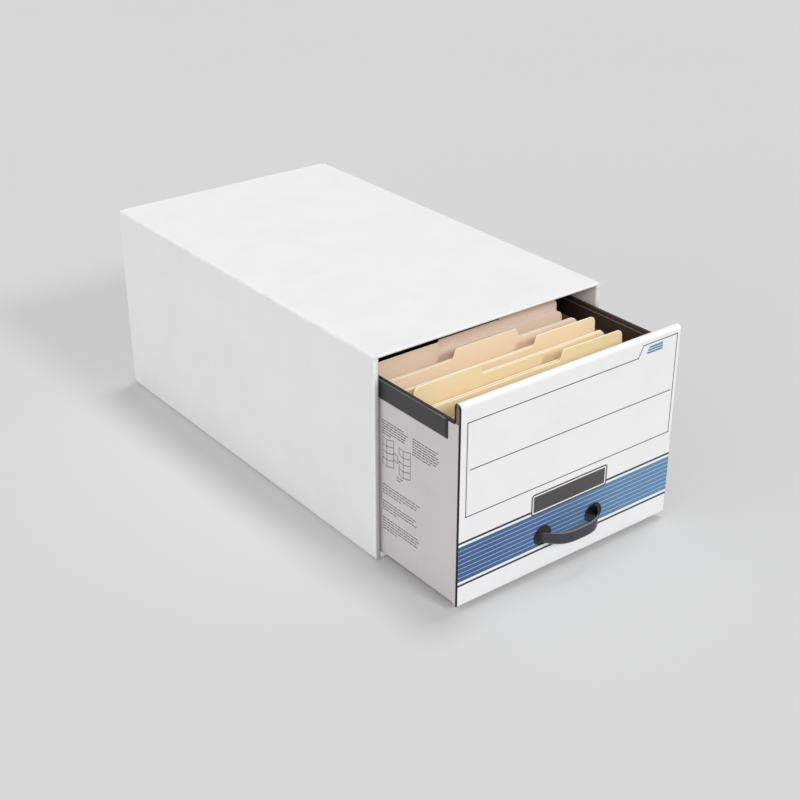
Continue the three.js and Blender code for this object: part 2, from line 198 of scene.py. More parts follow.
class Finish:
    """A material on the Principled shader, with its constants set on the shader's own sockets."""

    def __init__(self, name, **constants):
        self.material = bpy.data.materials.new(name)
        self.material.use_nodes = True
        self.tree = self.material.node_tree
        self.shader = self.tree.nodes["Principled BSDF"]
        for socket, value in constants.items():
            self.shader.inputs[socket.replace("_", " ")].default_value = value

    def put(self, socket, value):
        if isinstance(value, Value):
            self.tree.links.new(value.socket, socket)
        else:
            socket.default_value = value

    def node(self, kind, settings=None, inputs=None, output=0):
        made = self.tree.nodes.new(kind)
        for name, value in (settings or {}).items():
            setattr(made, name, value)
        for name, value in (inputs or {}).items():
            self.put(made.inputs[name], value)
        return Value(self, made.outputs[output])

    def math(self, operation, *values):
        return self.node("ShaderNodeMath", {"operation": operation}, dict(enumerate(values)))

    def feed(self, **links):
        for socket, value in links.items():
            self.put(self.shader.inputs[socket.replace("_", " ")], value)

    def place(self):
        """The point's place on the object in millimetres, as a vector."""
        place = self.node("ShaderNodeTexCoord", output="Object")
        return self.node("ShaderNodeVectorMath", {"operation": "SCALE"}, {"Vector": place, "Scale": 1 / MM})

    def parts(self, vector):
        """The three numbers of a vector."""
        split = self.node("ShaderNodeSeparateXYZ", inputs={0: vector})
        outputs = split.socket.node.outputs
        return [Value(self, outputs[i]) for i in range(3)]

    def stretched(self, vector, by):
        return self.node("ShaderNodeVectorMath", {"operation": "MULTIPLY"}, {0: vector, 1: by})

    def noise(self, vector, size, detail=3.0, roughness=0.55):
        """Cloudy noise from 0 to 1 whose patches are about size millimetres."""
        return self.node(
            "ShaderNodeTexNoise",
            inputs={"Vector": vector, "Scale": 1 / size, "Detail": detail, "Roughness": roughness},
        )

    def smooth(self, value, low, high):
        """0 below low, 1 above high and an even curve between them."""
        return self.node(
            "ShaderNodeMapRange",
            {"interpolation_type": "SMOOTHSTEP"},
            {"Value": value, "From Min": low, "From Max": high},
        )

    def near(self, value, at, within):
        return abs(value - at) < within

    def between(self, value, low, high):
        return (value > low) * (value < high)

    def most(self, first, *others):
        for other in others:
            first = self.math("MAXIMUM", first, other)
        return first

    def mix(self, share, first, second):
        """A colour that goes from the first to the second."""
        return self.node(
            "ShaderNodeMix",
            {"data_type": "RGBA", "clamp_factor": True},
            {0: share, 6: first, 7: second},
            output=2,
        )

    def relief(self, height):
        """Height in millimetres as a bump."""
        return self.node("ShaderNodeBump", inputs={"Strength": 1.0, "Distance": MM, "Height": height})


def colour(red, green, blue):
    """A colour given as screen values from 0 to 255, as Blender's linear values."""
    screen = np.array([red, green, blue]) / 255
    linear = np.where(screen <= 0.04045, screen / 12.92, ((screen + 0.055) / 1.055) ** 2.4)
    return (*linear.tolist(), 1.0)


# Finishes

WHITE_LINER = colour(240, 240, 241)
WHITE_LINER_DULL = colour(236, 236, 237)
GREY_LINER = colour(212, 208, 210)
GREY_LINER_DULL = colour(206, 202, 204)
KRAFT = colour(186, 148, 106)
KRAFT_DARK = colour(150, 113, 76)
# Grey painted shade for the sleeve's folded front rims
RIM_PAINTED_SHADE = colour(176, 176, 178)
# Cut edges: painted shade in the flute hollows, and liner edges that are kraft darkened with painted shade
CUT_HOLLOW_SHADE = colour(38, 28, 25)
CUT_LINER_KRAFT_AND_SHADE = colour(92, 72, 58)
CUT_FLAT = colour(118, 102, 94)


def liner_tone(finish, place, clean, dull):
    """The printed-side liner: soft clouds and fine fibres between a clean and a duller tone."""
    clouds = finish.noise(place, 55.0, 3.0)
    fibres = finish.noise(finish.stretched(place, (1.0, 2.2, 1.0)), 1.4, 4.0, 0.7)
    share = finish.smooth(clouds * 0.62 + fibres * 0.38, 0.36, 0.72)
    return finish.mix(share, clean, dull)


def liner_relief(finish, place, across):
    """Paper tooth and the faint washboard of the flutes beneath, which repeats every flute."""
    tooth = finish.noise(place, 0.9, 3.0)
    sag = finish.noise(place, 130.0, 1.0)
    washboard = finish.math("SINE", across * (2 * math.pi / FLUTE_PITCH))
    return tooth * 0.02 + washboard * 0.005 + sag * 0.35


def kraft_tone(finish, place):
    """The bare brown liner, streaked along the drawer."""
    fibres = finish.noise(finish.stretched(place, (0.35, 1.0, 0.35)), 2.2, 5.0, 0.7)
    return finish.mix(finish.smooth(fibres, 0.3, 0.7), KRAFT, KRAFT_DARK)


def cut_tone(finish, across):
    """A cut edge of board: painted shade in the hollow between two thin liners in every ply, liner edges
    darker than bare kraft partly as painted shade, and a flattened middle ply.
    """
    ply = finish.math("PINGPONG", across, BOARD / 2)
    hollow = finish.mix(finish.between(across, BOARD, 2 * BOARD), CUT_HOLLOW_SHADE, CUT_FLAT)
    return finish.mix(finish.smooth(ply, 0.1, 0.4), CUT_LINER_KRAFT_AND_SHADE, hollow)


def sleeve_finish():
    """White liner outside, grey painted shade on the front rims, brown under the top panel and inside the
    back seams.
    """
    finish = Finish("white_liner_sleeve", Roughness=0.62, Specular_IOR_Level=0.35)
    place = finish.place()
    x, y, z = finish.parts(place)
    tone = liner_tone(finish, place, WHITE_LINER, WHITE_LINER_DULL)

    # Handling dulls the long folds and the front edges
    side_fold = SLEEVE_HALF - abs(x)
    top_fold = SLEEVE_TOP - z
    fold_distance = finish.math("MAXIMUM", side_fold, finish.math("MINIMUM", top_fold, z))
    scuffs = finish.noise(finish.stretched(place, (1.0, 0.25, 1.0)), 9.0, 5.0, 0.7)
    front_distance = y - SLEEVE_FRONT
    edge = finish.most(
        1 - finish.smooth(fold_distance, 1.0, 7.0),
        1 - finish.smooth(front_distance, 0.5, 6.0),
    )
    edge_mark = edge * finish.smooth(scuffs, 0.45, 0.75)
    tone = finish.mix(edge_mark * 0.55, tone, colour(214, 211, 206))

    # The folded front rims of the side walls are painted grey below the top panel: painted shade that
    # deepens downwards
    rim = (front_distance < SLEEVE_SIDE / 2 + 0.2) * (side_fold < SLEEVE_SIDE + 0.1)
    rim = rim * finish.smooth(side_fold, 0.4, 2.0) * finish.smooth(top_fold, *RIM_SHADE_FADE)
    tone = finish.mix(rim, tone, RIM_PAINTED_SHADE)

    # The top panel is one ply, so its underside is the bare kraft liner
    underside = finish.near(z, SLEEVE_TOP - BOARD, 0.2) * (abs(x) < SLEEVE_HALF - SLEEVE_SIDE)
    tone = finish.mix(underside, tone, kraft_tone(finish, place))

    # Cut edges inside the seams round the back flap
    sunk = finish.between(y, SLEEVE_REAR - BACK_SEAM_DEEP, SLEEVE_REAR - 0.05)
    seam = sunk * finish.most(finish.between(side_fold, *BACK_SEAM), finish.between(z, *BACK_SEAM))
    tone = finish.mix(seam, tone, KRAFT_DARK)

    height = liner_relief(finish, place, y)
    roughness = 0.6 + edge_mark * 0.2 + finish.most(underside, seam) * 0.25
    finish.feed(Base_Color=tone, Roughness=roughness, Normal=finish.relief(height))
    return finish.material


def drawer_finish():
    """White liner on the front, grey on the walls outside, brown inside, and plies at the front's ends."""
    finish = Finish("white_liner_drawer", Roughness=0.6, Specular_IOR_Level=0.35)
    place = finish.place()
    x, y, z = finish.parts(place)
    behind_front = y - FRONT_FACE
    front = behind_front < FRONT_THICK + 0.1
    white = liner_tone(finish, place, WHITE_LINER, WHITE_LINER_DULL)
    grey = liner_tone(finish, place, GREY_LINER, GREY_LINER_DULL)
    at_end = abs(x) > DRAWER_HALF - 0.15
    below_rail = z < RAIL_TOP
    wall_side = (abs(x) > WALL_OUTER - 0.1) * (behind_front > BOARD + 0.05) * below_rail
    tone = finish.mix(front * (1 - finish.most(at_end, wall_side)), grey, white)

    # Inside, the single-ply floor and walls show bare kraft
    on_wall = finish.near(abs(x), WALL_INNER, 0.2) * (z > DRAWER_FLOOR - 0.1)
    on_floor = finish.near(z, DRAWER_FLOOR, 0.2) * (abs(x) < WALL_INNER + 0.1)
    wall_tops = finish.near(z, WALL_TOP, 0.2)
    bare = finish.most(on_wall, on_floor, wall_tops) * (1 - front)
    tone = finish.mix(bare, tone, kraft_tone(finish, place))

    # The front's ends: the outer ply is cut all the way down, the plies behind it only above the rails
    cut = at_end * front * finish.most(behind_front < BOARD + 0.05, 1 - below_rail)
    tone = finish.mix(cut, tone, cut_tone(finish, behind_front))

    # Handling dulls the rolled top edge
    scuffs = finish.noise(finish.stretched(place, (0.3, 1.0, 1.0)), 8.0, 5.0, 0.7)
    edge_mark = front * finish.smooth(z, FRONT_TOP - 7, FRONT_TOP) * finish.smooth(scuffs, 0.5, 0.8)
    tone = finish.mix(edge_mark * 0.4, tone, colour(216, 213, 208))

    across = finish.math("MULTIPLY_ADD", front, x - y, y)
    height = liner_relief(finish, place, across)
    roughness = 0.58 + edge_mark * 0.2 + finish.most(bare, cut) * 0.3
    finish.feed(Base_Color=tone, Roughness=roughness, Normal=finish.relief(height))
    return finish.material


def rail_finish():
    """Black enamelled steel, rubbed along the middle of the top. Its top is painted darkest and its inner
    legs brownish as painted shade; the outer bends carry a painted highlight broken by scuffs, the bead a
    painted highlight, and the legs' front ends near-black painted shade.
    """
    finish = Finish("black_enamelled_steel", Metallic=0.0, Specular_IOR_Level=0.5)
    place = finish.place()
    x, y, z = finish.parts(place)
    along = finish.stretched(place, (1.0, 0.06, 1.0))
    streaks = finish.noise(along, 1.6, 4.0, 0.6)
    on_top = z > RAIL_TOP - 0.4
    inner_leg = abs(x) < WALL_INNER
    # The legs and the top are one black enamel: the inner legs get a brownish painted shade and the top the
    # darkest painted shade
    outer = finish.mix(streaks, colour(62, 59, 61), colour(44, 42, 45))
    inner = finish.mix(streaks, colour(58, 45, 38), colour(40, 31, 27))
    # A painted highlight along the bead on the inner legs
    bead_highlight = finish.near(z, RAIL_TOP - RAIL_BEAD_DROP, 0.9)
    inner = finish.mix(bead_highlight * 0.6, inner, colour(128, 114, 104))
    legs = finish.mix(inner_leg, outer, inner)
    painted_shade_tops = finish.mix(streaks, colour(24, 20, 19), colour(14, 12, 12))
    tone = finish.mix(on_top, legs, painted_shade_tops)
    middle = (WALL_OUTER + WALL_INNER) / 2
    rubbed_line = on_top * finish.near(abs(x), middle, 0.5) * finish.smooth(streaks, 0.25, 0.5)
    tone = finish.mix(rubbed_line * 0.8, tone, colour(104, 78, 46))
    # The outer bends are painted lighter: a painted highlight along each bend, broken up by scuffs that are
    # wear
    bend_highlight = finish.between(z, RAIL_TOP - 1.5, RAIL_TOP - 0.35) * (abs(x) > DRAWER_HALF - 1.0)
    scuffs = finish.noise(finish.stretched(place, (1.0, 0.2, 1.0)), 5.0, 5.0, 0.7)
    edge_mark = bend_highlight * (0.35 + 0.65 * finish.smooth(scuffs, 0.4, 0.65))
    tone = finish.mix(edge_mark, tone, colour(138, 136, 138))
    # Near-black painted shade at the legs' front ends, by the outer leg's cut
    end_shade = finish.between(y, FRONT_INSIDE, FRONT_INSIDE + RAIL_CUTBACK + RAIL_END_SHADE) * (1 - on_top)
    tone = finish.mix(end_shade, tone, colour(16, 14, 14))
    peel = finish.noise(place, 1.1, 2.0)
    roughness = 0.42 + streaks * 0.14 - edge_mark * 0.1
    finish.feed(Base_Color=tone, Roughness=roughness, Normal=finish.relief(peel * 0.02))
    return finish.material


def pull_finish():
    """Moulded plastic, nearly black with a blue cast, its rims polished by fingers and painted lighter as a
    painted highlight.
    """
    finish = Finish("blue_black_plastic", Specular_IOR_Level=0.5, Coat_Roughness=0.25)
    place = finish.place()
    _, y, z = finish.parts(place)
    flow = finish.noise(finish.stretched(place, (0.3, 0.3, 1.0)), 6.0, 3.0)
    tone = finish.mix(flow, colour(60, 56, 66), colour(48, 45, 54))
    # Darker towards the board: the pads are nearly black, and the strap's ends get painted shade as they
    # near them
    end = finish.smooth(y, FRONT_FACE - PAD_THICK - 6, FRONT_FACE - PAD_THICK - 0.5)
    tone = finish.mix(end, tone, colour(13, 13, 22))
    # A painted highlight along the strap's rims, which fingers also polish glossier
    rim = finish.smooth(abs(z - PULL_HEIGHT), STRAP_TALL / 2 - 1.7, STRAP_TALL / 2 - 0.9)
    polish_and_highlight = rim * (1 - end)
    tone = finish.mix(polish_and_highlight * 0.6, tone, colour(140, 138, 148))
    grain = finish.noise(place, 0.5, 2.0)
    roughness = 0.4 - polish_and_highlight * 0.1 + flow * 0.1
    height = grain * 0.03
    finish.feed(Base_Color=tone, Roughness=roughness, Coat_Weight=polish_and_highlight * 0.3, Normal=finish.relief(height))
    return finish.material


def manila_finish(number, share):
    """Manila card, warm at the drawer's front and pinker at the rear, with fibres, specks and a painted
    highlight along the top edges.
    """
    finish = Finish(f"manila_card_{number}", Specular_IOR_Level=0.25)
    place = finish.place()
    near_tone = np.array(colour(255, 237, 192))
    far_tone = np.array(colour(255, 232, 222))
    tone = tuple(near_tone * (1 - share) + far_tone * share)
    deeper = tuple(np.array(tone) * (0.985, 0.96, 0.91, 1.0))
    moved = finish.node("ShaderNodeVectorMath", {"operation": "ADD"}, {0: place, 1: (0, 37.0 * number, 0)})
    fibres = finish.noise(finish.stretched(moved, (0.5, 1.0, 1.6)), 1.8, 5.0, 0.7)
    clouds = finish.noise(moved, 46.0, 2.0)
    paint = finish.mix(finish.smooth(fibres * 0.55 + clouds * 0.45, 0.3, 0.75), tone, deeper)
    specks = finish.smooth(finish.noise(moved, 0.8, 1.0), 0.72, 0.78)
    paint = finish.mix(specks * 0.35, paint, colour(171, 134, 88))
    # A painted highlight along the leaves' top edges
    edge_highlight = finish.node("ShaderNodeAttribute", {"attribute_name": "edge_highlight"}, output="Fac")
    paint = finish.mix(edge_highlight * 0.75, paint, colour(255, 249, 234))
    height = fibres * 0.03 + clouds * 0.5
    finish.feed(Base_Color=paint, Roughness=0.78 + fibres * 0.12, Normal=finish.relief(height))
    return finish.material


def ink_finish(name, first, second):
    """Water-based ink on liner: the colour drifts across the width and breaks up finely over the fibres."""
    finish = Finish(name, Specular_IOR_Level=0.3)
    place = finish.place()
    drift = finish.smooth(finish.parts(place)[0], -DRAWER_HALF, DRAWER_HALF)
    tone = finish.mix(drift, first, second)
    fibres = finish.noise(place, 1.2, 4.0, 0.7)
    lighter = tuple(0.8 * c + 0.2 for c in second[:3]) + (1.0,)
    tone = finish.mix(finish.smooth(fibres, 0.55, 0.8) * 0.3, tone, lighter)
    finish.feed(Base_Color=tone, Roughness=0.5 + fibres * 0.15)
    return finish.material


def floor_finish():
    """A plain pale grey that drifts by one step."""
    finish = Finish("pale_floor", Roughness=0.9, Specular_IOR_Level=0.0)
    place = finish.place()
    tone = finish.mix(finish.noise(place, 900.0, 2.0), colour(212, 212, 212), colour(211, 211, 211))
    finish.feed(Base_Color=tone)
    return finish.material


# Meshes

SHARP_BEND = 35.0


def grid_faces(rows, columns, round_rows=False, round_columns=False):
    """Quads between neighbours on a grid numbered row by row. A round side is closed on itself."""
    row, column = np.meshgrid(
        np.arange(rows if round_rows else rows - 1),
        np.arange(columns if round_columns else columns - 1),
        indexing="ij",
    )
    next_row = (row + 1) % rows
    next_column = (column + 1) % columns
    corners = [
        row * columns + column,
        row * columns + next_column,
        next_row * columns + next_column,
        next_row * columns + column,
    ]
    return np.stack(corners, -1).reshape(-1, 4)


def make_piece(name, points, faces, material, body, smooth=True):
    """One mesh piece from points in millimetres, its faces turned outwards and its slight bends smooth."""
    mesh = bpy.data.meshes.new(name)
    mesh.from_pydata((np.asarray(points).reshape(-1, 3) * MM).tolist(), [], faces)
    shell = bmesh.new()
    shell.from_mesh(mesh)
    bmesh.ops.remove_doubles(shell, verts=shell.verts, dist=1e-6)
    bmesh.ops.recalc_face_normals(shell, faces=shell.faces)
    shell.to_mesh(mesh)
    shell.free()
    mesh.polygons.foreach_set("use_smooth", [smooth] * len(mesh.polygons))
    if smooth:
        mesh.set_sharp_from_angle(angle=math.radians(SHARP_BEND))
    mesh.materials.append(material)
    piece = bpy.data.objects.new(name, mesh)
    bpy.context.scene.collection.objects.link(piece)
    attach(piece, body)
    return piece


def oval(width, tall, steps=48):
    """Points round an oblong with half-round ends: a circle whose halves are drawn apart the longer way."""
    angle = 2 * math.pi * (np.arange(steps) + 0.5) / steps
    radius = min(width, tall) / 2
    across = radius * np.cos(angle) + (width / 2 - radius) * np.sign(np.cos(angle))
    up = radius * np.sin(angle) + (tall / 2 - radius) * np.sign(np.sin(angle))
    return np.stack([across, up], -1)


def rounded_oblong(width, tall, corner, steps=12):
    """Points round a rectangle whose corners are quarter circles."""
    turn = np.linspace(0, math.pi / 2, steps)
    points = []
    for quarter, (side, end) in enumerate(((1, 1), (-1, 1), (-1, -1), (1, -1))):
        angle = turn + quarter * math.pi / 2
        centre = (side * (width / 2 - corner), end * (tall / 2 - corner))
        points.append(np.stack([np.cos(angle), np.sin(angle)], -1) * corner + centre)
    return np.concatenate(points)


# Folders

def top_edge(across, width, tab):
    """Height that the leaf's top edge stands above its plain height, by distance from the left side.

    The corners drop on a quarter circle, and the tab rises by an even S-curve at each of its inner sides.
    """
    to_side = np.minimum(across, width - across)
    inside = np.clip(FOLDER_CORNER - to_side, 0, FOLDER_CORNER)
    corner = np.sqrt(FOLDER_CORNER ** 2 - inside ** 2) - FOLDER_CORNER
    if tab is None:
        return corner
    tab_from = tab * width / TABS
    tab_to = tab_from + width / TABS
    at_left = np.clip((across - tab_from) / TAB_SIDE + 0.5, 0, 1) if tab > 0 else np.ones_like(across)
    at_right = np.clip((tab_to - across) / TAB_SIDE + 0.5, 0, 1) if tab < TABS - 1 else np.ones_like(across)
    share = at_left * at_right
    rise = share * share * (3 - 2 * share)
    return corner + rise * TAB_RISE


def folder_columns(width):
    """Distances across the leaf: even steps, with close ones at the corners and at both inner tab sides."""
    even = np.linspace(0, width, 41)
    corner = FOLDER_CORNER * (1 - np.cos(np.linspace(0, math.pi / 2, 7)))
    tab_side = np.linspace(-TAB_SIDE / 2, TAB_SIDE / 2, 9)
    sides = [width * third / TABS + tab_side for third in range(1, TABS)]
    return np.unique(np.concatenate([even, corner, width - corner, *sides]).round(3))


def make_folder(number, place, material):
    """A card sheet folded once: front leaf down, round the spine, rear leaf up.

    Each leaf is a grid of width by height whose rows are stretched to its top edge. It leans in a straight
    line from the fold to its top, with a parabola's bow and a slow sideways wave that grows upwards. The
    spine is a half circle that joins the leaves' feet.
    """
    name = f"file_folder_{number}"
    low, high = box_mm(name)
    width = high[0] - low[0]
    across = folder_columns(width)
    front, fold, back = [FRONT_INSIDE + place[key] * FOLDER_STACK for key in ("front", "fold", "back")]
    spread = (FOLDER_SPINE - FOLDER_CARD) / 2
    spine_top = FOLDER_SPINE / 2
    rise = np.append(np.linspace(0, 1 - 2 * EDGE_HIGHLIGHT_SHARE, 20), (1 - EDGE_HIGHLIGHT_SHARE, 1))[:, None]

    def leaf(foot, top_at, height, tab, bow, phase):
        top = FOLDER_HEIGHT + top_edge(across, width, tab)
        z = spine_top + rise * (top - spine_top)
        lean = (z - spine_top) / (height - spine_top)
        wave = LEAF_WAVE * np.sin(across / width * 2 * math.pi * LEAF_WAVES + phase) * rise ** 2
        y = foot + (top_at - foot) * lean + bow * 4 * rise * (1 - rise) + wave
        return y, z

    bow = -LEAF_BOW if place["front"] < place["fold"] else 0.0
    front_turn = number * FRONT_WAVE_TURN
    rear_turn = number * REAR_WAVE_TURN + 1
    front_y, front_z = leaf(fold - spread, front, FOLDER_HEIGHT, None, bow, front_turn)
    rear_y, rear_z = leaf(fold + spread, back, FOLDER_HEIGHT + TAB_RISE, place["tab"], 0.0, rear_turn)
    turn = np.linspace(math.pi, 2 * math.pi, 8)[1:-1, None]
    bend_y = fold + spread * np.cos(turn) + 0 * across
    bend_z = spine_top + spread * np.sin(turn) + 0 * across
    y = np.concatenate([front_y[::-1], bend_y, rear_y])
    z = np.concatenate([front_z[::-1], bend_z, rear_z]) + low[2]
    x = low[0] + np.broadcast_to(across, y.shape)
    points = np.stack([x, y, z], -1)
    piece = make_piece(f"{name}_card", points, grid_faces(*y.shape).tolist(), material, "drawer")
    # The leaves' top rows carry a painted highlight along the edge
    edge_highlight = np.zeros(y.shape, np.float32)
    edge_highlight[0] = edge_highlight[-1] = 1
    piece.data.attributes.new("edge_highlight", "FLOAT", "POINT").data.foreach_set("value", edge_highlight.ravel())
    thick = piece.modifiers.new("card", "SOLIDIFY")
    thick.thickness = FOLDER_CARD * MM
    thick.offset = 0
    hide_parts(name)


# Pull strap

def signed_power(value, power):
    """A power of the value's size, with the value's sign kept. It squares off a circle's sine and cosine."""
    return np.sign(value) * np.abs(value) ** power


def strap_points():
    """A strap section carried along its arch.

    The arch stands out by the bow times one less a power of the distance from the middle. The section is a
    squared-off circle whose web is thinner than the rims along its edges, and it narrows towards both ends.
    """
    along = np.linspace(-1, 1, 61)[:, None]
    angle = np.linspace(0, 2 * math.pi, 36, endpoint=False)
    out = STRAP_BOW * (1 - np.abs(along) ** STRAP_FULLNESS)
    slope = STRAP_BOW * STRAP_FULLNESS * signed_power(along, STRAP_FULLNESS - 1) / STRAP_REACH
    length = np.sqrt(1 + slope ** 2)
    face = signed_power(np.cos(angle), 0.45)
    edge = signed_power(np.sin(angle), 0.7)
    rim = STRAP_WEB + (1 - STRAP_WEB) * np.abs(edge) ** 6
    tall = STRAP_TALL * (1 - STRAP_NARROWING * np.abs(along) ** 6)
    across = STRAP_THICK / 2 * face * rim
    x = along * STRAP_REACH - across * slope / length
    y = FRONT_FACE - PAD_THICK + STRAP_THICK / 2 - out - across / length
    z = PULL_HEIGHT + tall / 2 * edge
    return np.stack(np.broadcast_arrays(x, y, z), -1)


def pull_end_points(side):
    """One end of the pull, lofted round its oval: dished pad, neck through the front, and flange behind it.

    Each row is the oval drawn in by a margin and set at a depth behind the front's face.
    """
    neck = PAD_LIP + SEAT_GAP
    behind = FRONT_THICK + SEAT_GAP
    face = -SEAT_GAP - PAD_THICK
    floor = face + PAD_DISH
    dish = [(4.2, floor), (2.4, floor - 0.05), (1.7, face + PAD_DISH / 2), (1.3, face + 0.1)]
    rim = [(0.9, face), (0.5, face + 0.05), (0.15, face + 0.3), (0.0, face + 0.7)]
    seat = [(0.0, -SEAT_GAP - 0.1), (0.15, -SEAT_GAP)]
    through = [(neck, -SEAT_GAP), (neck, behind)]
    flange = [
        (-RETAINER_LIP + 0.2, behind),
        (-RETAINER_LIP, behind + 0.3),
        (-RETAINER_LIP, behind + RETAINER_THICK - 0.4),
        (-RETAINER_LIP + 0.4, behind + RETAINER_THICK),
        (3.0, behind + RETAINER_THICK),
    ]
    loops = []
    for margin, depth in dish + rim + seat + through + flange:
        loop = oval(PAD_WIDTH - 2 * margin, PAD_TALL - 2 * margin)
        loops.append(np.column_stack([loop[:, 0], np.full(len(loop), depth), loop[:, 1]]))
    return np.array(loops) + (side * PULL_SPAN / 2, FRONT_FACE, PULL_HEIGHT)


def make_pull(material):
    """The strap and its two ends as one moulding."""
    points = []
    faces = []
    start = 0
    for shape in (strap_points(), pull_end_points(-1), pull_end_points(1)):
        rows, columns, _ = shape.shape
        faces += (grid_faces(rows, columns, round_columns=True) + start).tolist()
        faces.append([start + i for i in range(columns)])
        faces.append([start + (rows - 1) * columns + i for i in range(columns)])
        points.append(shape.reshape(-1, 3))
        start += rows * columns
    piece = make_piece("pull_strap_moulding", np.concatenate(points), faces, material, "drawer")
    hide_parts("pull_strap")


# Print

BAR_FACES = np.array([[0, 4, 6, 2], [1, 3, 7, 5], [0, 1, 5, 4], [2, 6, 7, 3], [0, 2, 3, 1], [4, 5, 7, 6]])


def strokes(starts, ends, width):
    """Ink strokes in a plane: each goes from its start to its end, with its width square across.

    A stroke's eight corners take the start or the end, the left or the right side, and the board or the top.
    """
    starts = np.asarray(starts, float)
    ends = np.asarray(ends, float)
    along = ends - starts
    along /= np.linalg.norm(along, axis=1)[:, None]
    side = np.stack([-along[:, 1], along[:, 0]], -1) * (np.reshape(width, (-1, 1)) / 2)
    bits = (np.arange(8)[:, None] >> np.arange(3)) & 1
    line = starts[:, None] * (1 - bits[None, :, :1]) + ends[:, None] * bits[None, :, :1]
    flat = line + side[:, None] * (2 * bits[None, :, 1:2] - 1)
    depth = np.broadcast_to(bits[None, :, 2:3] * INK, flat.shape[:2] + (1,))
    faces = BAR_FACES[None] + 8 * np.arange(len(starts))[:, None, None]
    return np.concatenate([flat, depth], -1).reshape(-1, 3), faces.reshape(-1, 4).tolist()


def on_front(points):
    """Plane points (across, up, depth) laid on the drawer's front face, up from the floor."""
    return np.stack([points[:, 0], FRONT_FACE - points[:, 2], points[:, 1]], -1)


def on_left_wall(points):
    """Plane points (back from the front, up, depth) laid on the drawer's left wall."""
    return np.stack([-WALL_OUTER - points[:, 2], FRONT_FACE + points[:, 0], points[:, 1]], -1)


def print_piece(name, points, faces, material):
    """A piece of ink on the drawer's board, with flat faces."""
    piece = make_piece(name, points, faces, material, "drawer", smooth=False)


def outline_strokes(points, width):
    """Strokes round a closed line of points, each run on by half its width so that the corners fill."""
    starts = np.asarray(points, float)
    ends = np.roll(starts, -1, 0)
    along = (ends - starts) / np.linalg.norm(ends - starts, axis=1)[:, None]
    return starts - along * width / 2, ends + along * width / 2


# The label field's frame, with its stepped top edge and the rule across it, from the front's middle line
# and up from the floor
FRAME_LEFT = -171.0
FRAME_RIGHT = 175.0
FRAME_BOTTOM = 134.5
FRAME_TOP = 276.5
FRAME_STEP = 15.5
STEP_FROM = 106.0
STEP_TO = 114.0
MIDDLE_RULE = 197.5
MIDDLE_RULE_GAPS = (4.5, 3.0)

# The band, its bars and the gaps between them, and the rules along its edges
BAND_LOW = 44.8
BAND_HIGH = 95.8
BAND_BARS = 8
BAR_GAP = 1.0
EDGE_RULES = (39.8, 100.4)
EDGE_RULE_WIDTH = 3.0

# The plate over the band
PLATE_WIDTH = 130.0
PLATE_TALL = 31.0
PLATE_HEIGHT = 109.5
PLATE_CORNER = 4.5
PLATE_BORDER = 2.2
PLATE_KEYLINE = 1.8

# The bars in the stepped corner: where they start and end, the lowest one's height, and each bar's share of
# the pitch
CORNER_MARK_FROM = 121.0
CORNER_MARK_TO = 149.0
CORNER_MARK_LOW = 264.0
CORNER_MARK_PITCH = 3.6
CORNER_MARK_SHARE = 0.72
CORNER_MARK_SLOPE = 0.45
CORNER_MARK_BARS = 3


def make_label_rules(ink):
    """The label field: a frame whose top edge steps up near its right end, and one rule across it."""
    frame_points = [
        (FRAME_LEFT, FRAME_BOTTOM),
        (FRAME_RIGHT, FRAME_BOTTOM),
        (FRAME_RIGHT, FRAME_TOP),
        (STEP_TO, FRAME_TOP),
        (STEP_FROM, FRAME_TOP - FRAME_STEP),
        (FRAME_LEFT, FRAME_TOP - FRAME_STEP),
    ]
    starts, ends = outline_strokes(frame_points, RULE_WIDTH)
    starts = np.append(starts, [(FRAME_LEFT + MIDDLE_RULE_GAPS[0], MIDDLE_RULE)], 0)
    ends = np.append(ends, [(FRAME_RIGHT - MIDDLE_RULE_GAPS[1], MIDDLE_RULE)], 0)
    points, faces = strokes(starts, ends, RULE_WIDTH)
    print_piece("front_label_rules", on_front(points), faces, ink)


def make_band(bar_ink, line_ink, edge_ink):
    """The coloured band: equal bars, fine pale lines between them, and a dark rule along each edge."""
    pitch = (BAND_HIGH - BAND_LOW) / BAND_BARS
    bars = BAND_LOW + pitch * (np.arange(BAND_BARS) + 0.5)
    lines = BAND_LOW + pitch * np.arange(1, BAND_BARS)
    for name, heights, width, ink in (
        ("front_band_bars", bars, pitch - BAR_GAP, bar_ink),
        ("front_band_lines", lines, BAR_GAP, line_ink),
        ("front_band_edges", EDGE_RULES, EDGE_RULE_WIDTH, edge_ink),
    ):
        starts = [(-DRAWER_HALF, z) for z in heights]
        ends = [(DRAWER_HALF, z) for z in heights]
        points, faces = strokes(starts, ends, width)
        print_piece(name, on_front(points), faces, ink)


